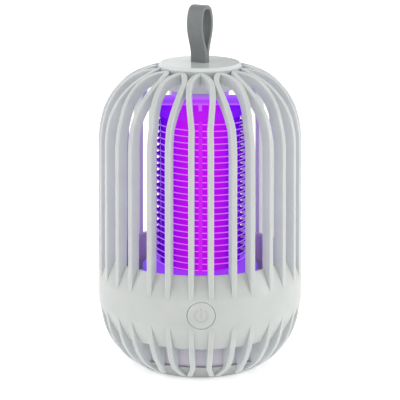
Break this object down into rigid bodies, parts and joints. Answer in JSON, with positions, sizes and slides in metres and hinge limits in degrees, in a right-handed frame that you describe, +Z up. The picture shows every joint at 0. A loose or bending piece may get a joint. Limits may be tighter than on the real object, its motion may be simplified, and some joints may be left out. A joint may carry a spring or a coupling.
{
  "type": "electric bug zapper",
  "caption": "Round lantern-shaped bug zapper: ribbed cage around a violet lamp tube and wire grid, bowl with push button, pull-off tray and hanging strap.",
  "frame": {"origin": "centre of the foot, on the surface that the lantern stands on", "axes": "+Z up, -Y towards the push button, +X to the right of it"},
  "size_m": [0.1204, 0.1204, 0.2127],
  "materials": {
    "shell": "satin white-grey moulded plastic",
    "cap": "glossy white-grey plastic",
    "strap": "matt silicone",
    "liner": "satin plastic",
    "lit_plastic": "translucent plastic lit from inside",
    "lamp_glow": "translucent tube lit from inside",
    "grid_insulator": "clear plastic",
    "grid_wire": "bright drawn wire",
    "bus_metal": "drawn rod",
    "led_package": "white ceramic package",
    "white_board": "white solder mask",
    "circuit_board": "green solder mask",
    "screw_steel": "zinc plated",
    "cell_wrap": "shrink sleeve",
    "black_plastic": "black plastic",
    "transformer_tape": "yellow tape",
    "capacitor_sleeve": "blue sleeve",
    "seal_rubber": "matt rubber"
  },
  "bodies": {
    "cage": {"cage_arches": "shell", "bowl_ribs": "shell", "cage_band": "shell", "cage_hub": "shell", "hub_cone": "shell", "cap_disc": "cap", "strap_root": "strap", "strap_clamp": "liner", "strap_screws": "screw_steel", "bowl_liner": "liner", "drop_funnel": "liner", "button_sleeve": "shell", "front_bridge": "liner", "rear_bridge": "liner", "side_spokes": "liner", "drum_shell": "liner", "drum_floor": "liner", "floor_screws": "screw_steel", "turret": "lit_plastic", "core_screws": "screw_steel", "lamp_tube": "lamp_glow", "lamp_cap": "lit_plastic", "lamp_spine": "liner", "led_boards": "white_board", "uv_leds": "led_package", "grid_base": "lit_plastic", "grid_posts": "grid_insulator", "grid_combs": "grid_insulator", "live_coil": "grid_wire", "earth_coil": "grid_wire", "live_bus": "bus_metal", "earth_bus": "bus_metal", "battery_cell": "cell_wrap", "battery_holder": "black_plastic", "battery_contacts": "screw_steel", "main_board": "circuit_board", "board_screws": "screw_steel", "hv_transformer": "transformer_tape", "hv_capacitors": "capacitor_sleeve", "board_chips": "black_plastic", "switch_board": "circuit_board", "tact_switch": "black_plastic", "usb_socket": "screw_steel", "usb_board": "circuit_board", "usb_bezel": "shell"},
    "strap": {"strap_loop": "strap"},
    "power_button": {"button_cap": "shell", "button_plunger": "black_plastic"},
    "tray": {"tray_fins": "shell", "tray_pan": "shell", "tray_cup": "liner", "tray_seal": "seal_rubber", "foot_ring": "seal_rubber"}
  },
  "joints": [
    {"name": "strap_bend", "type": "hinge", "parent": "cage", "child": "strap", "pos_m": [0, 0, 0.18245], "axis": [0.848, -0.5299, 0], "range_deg": [-28, 28], "stiffness_Nm_per_rad": 0.02},
    {"name": "button_press", "type": "slide", "parent": "cage", "child": "power_button", "axis": [0, 1, 0], "range_m": [0, 0.0006], "stiffness_N_per_m": 900},
    {"name": "lantern_lift", "type": "slide", "parent": "tray", "child": "cage", "axis": [0, 0, 1], "range_m": [0, 0.045]}
  ]
}
